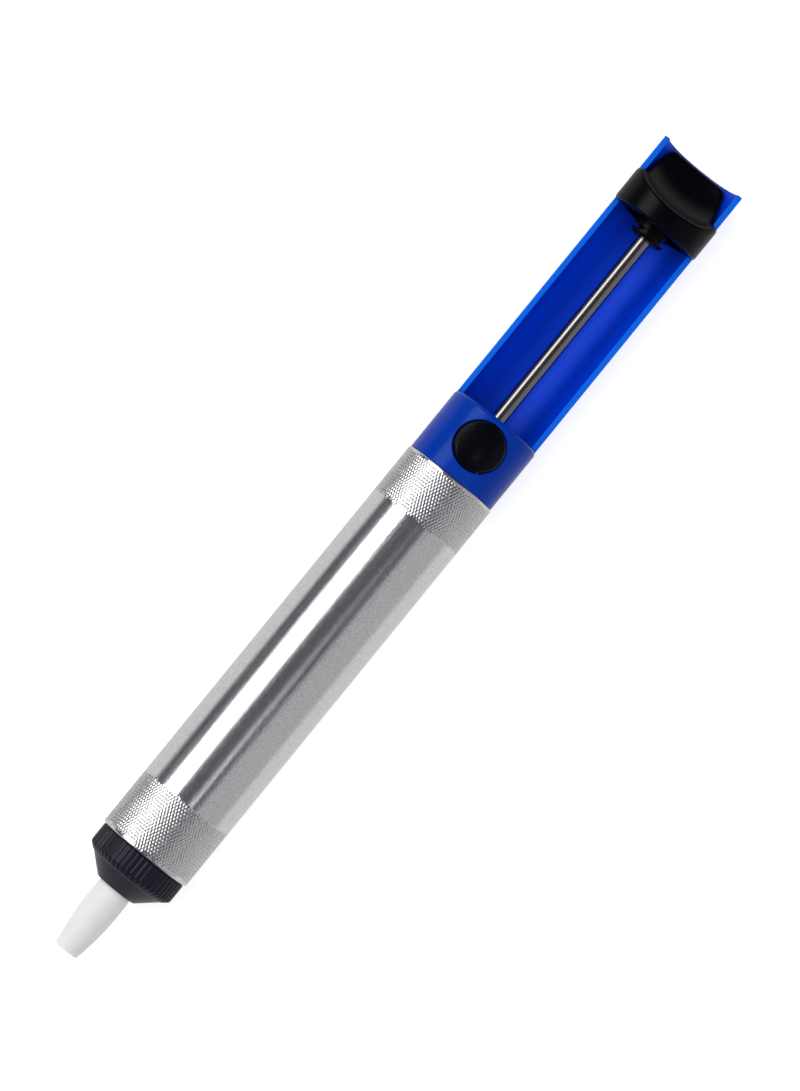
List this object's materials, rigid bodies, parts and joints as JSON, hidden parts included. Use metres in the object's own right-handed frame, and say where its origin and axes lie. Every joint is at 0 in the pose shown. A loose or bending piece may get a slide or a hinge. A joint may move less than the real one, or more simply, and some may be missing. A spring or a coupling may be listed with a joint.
{
  "type": "desoldering pump",
  "caption": "Spring-loaded solder sucker: tapered nozzle in a screwed cap, metal barrel with knurled ends, side release button, and a thumb knob on a rod that slides in a half-round guard.",
  "frame": {"origin": "centre of the nozzle's mouth, on the tool's axis", "axes": "+X along the axis from the nozzle back to the thumb knob; +Z out through the release button; +Y across the tool. The tool lies on its back on its barrel, button up."},
  "size_m": [0.1935, 0.02, 0.0212],
  "materials": {
    "nozzle_ptfe": "matt, slightly translucent white PTFE",
    "cap_plastic": "fine satin black moulding",
    "barrel_aluminium": "bright drawn aluminium with knurled ends",
    "blue_plastic": "glossy, slightly translucent blue moulding",
    "button_plastic": "glossy black",
    "knob_plastic": "glossy black",
    "catch_plastic": "black, semi-gloss",
    "rod_steel": "ground and polished steel",
    "spring_steel": "bright spring wire",
    "plain_steel": "zinc-plated steel",
    "piston_nylon": "natural nylon",
    "seal_rubber": "black nitrile rubber"
  },
  "bodies": {
    "barrel": {"barrel": "barrel_aluminium", "handle_housing": "blue_plastic", "button_cover": "blue_plastic", "rod_guide": "piston_nylon", "stop_bumper": "seal_rubber", "main_spring": "spring_steel", "button_spring": "spring_steel"},
    "plunger": {"piston": "piston_nylon", "piston_o_ring": "seal_rubber", "piston_washer": "plain_steel", "piston_nut": "plain_steel", "piston_clip": "spring_steel", "plunger_rod": "rod_steel", "cleaning_pin": "rod_steel", "catch_collar": "catch_plastic", "thumb_knob": "knob_plastic"},
    "button": {"release_button": "button_plastic"},
    "nozzle_seat": {"nozzle": "nozzle_ptfe", "spring_seat_washer": "plain_steel"},
    "cap": {"nozzle_cap": "cap_plastic", "cap_o_ring": "seal_rubber"}
  },
  "joints": [
    {"name": "plunger_slide", "type": "slide", "parent": "barrel", "child": "plunger", "axis": [1, 0, 0], "range_m": [-0.0473, 0], "stiffness_N_per_m": 300, "springref_m": 0.03, "deforming": ["main_spring"]},
    {"name": "button_press", "type": "slide", "parent": "barrel", "child": "button", "axis": [0, 0, 1], "range_m": [-0.0016, 0], "stiffness_N_per_m": 200, "springref_m": 0.003, "deforming": ["button_spring"]},
    {"name": "nozzle_draw", "type": "slide", "parent": "barrel", "child": "nozzle_seat", "axis": [-1, 0, 0], "range_m": [0, 0.006]},
    {"name": "cap_unscrew", "type": "hinge", "parent": "nozzle_seat", "child": "cap", "pos_m": [0.0215, 0, 0], "axis": [-1, 0, 0], "range_deg": [0, 1440]}
  ],
  "couplings": [
    {"joint": "cap_unscrew", "follows": "nozzle_draw", "rad_per_m": 4188.8}
  ]
}
